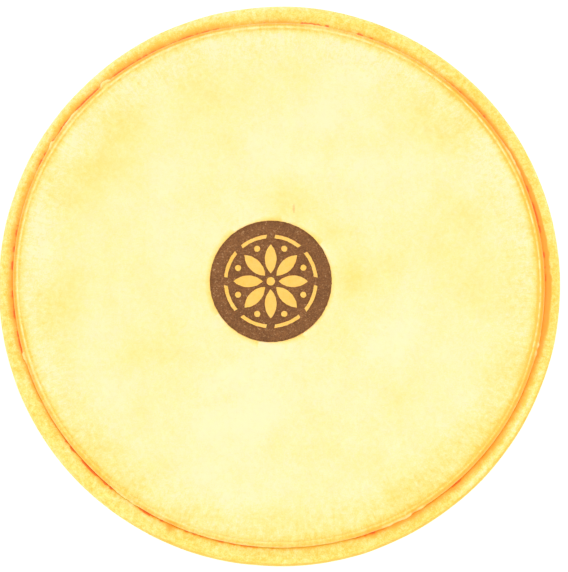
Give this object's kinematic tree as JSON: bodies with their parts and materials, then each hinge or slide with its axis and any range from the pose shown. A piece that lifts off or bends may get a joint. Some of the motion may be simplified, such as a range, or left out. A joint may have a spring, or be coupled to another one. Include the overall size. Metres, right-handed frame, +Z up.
{
  "type": "drum head",
  "caption": "Round natural-skin hand drum head: flat cream rawhide playing surface with a low collar, its border tucked round a steel wire hoop, and a small off-centre printed rosette.",
  "frame": {"origin": "middle of the hoop, on the surface that the head's bead rests on", "axes": "+Z up through the playing skin, +Y towards the top of the printed rosette, +X to its right"},
  "size_m": [0.218, 0.218, 0.0142],
  "materials": {
    "hide": "satin",
    "hoop_steel": "satin",
    "weld_steel": "matte",
    "ink": "matte"
  },
  "bodies": {
    "root": {"skin_head": "hide", "flesh_hoop": "hoop_steel", "hoop_weld": "weld_steel", "printed_roundel": "ink"}
  },
  "joints": []
}
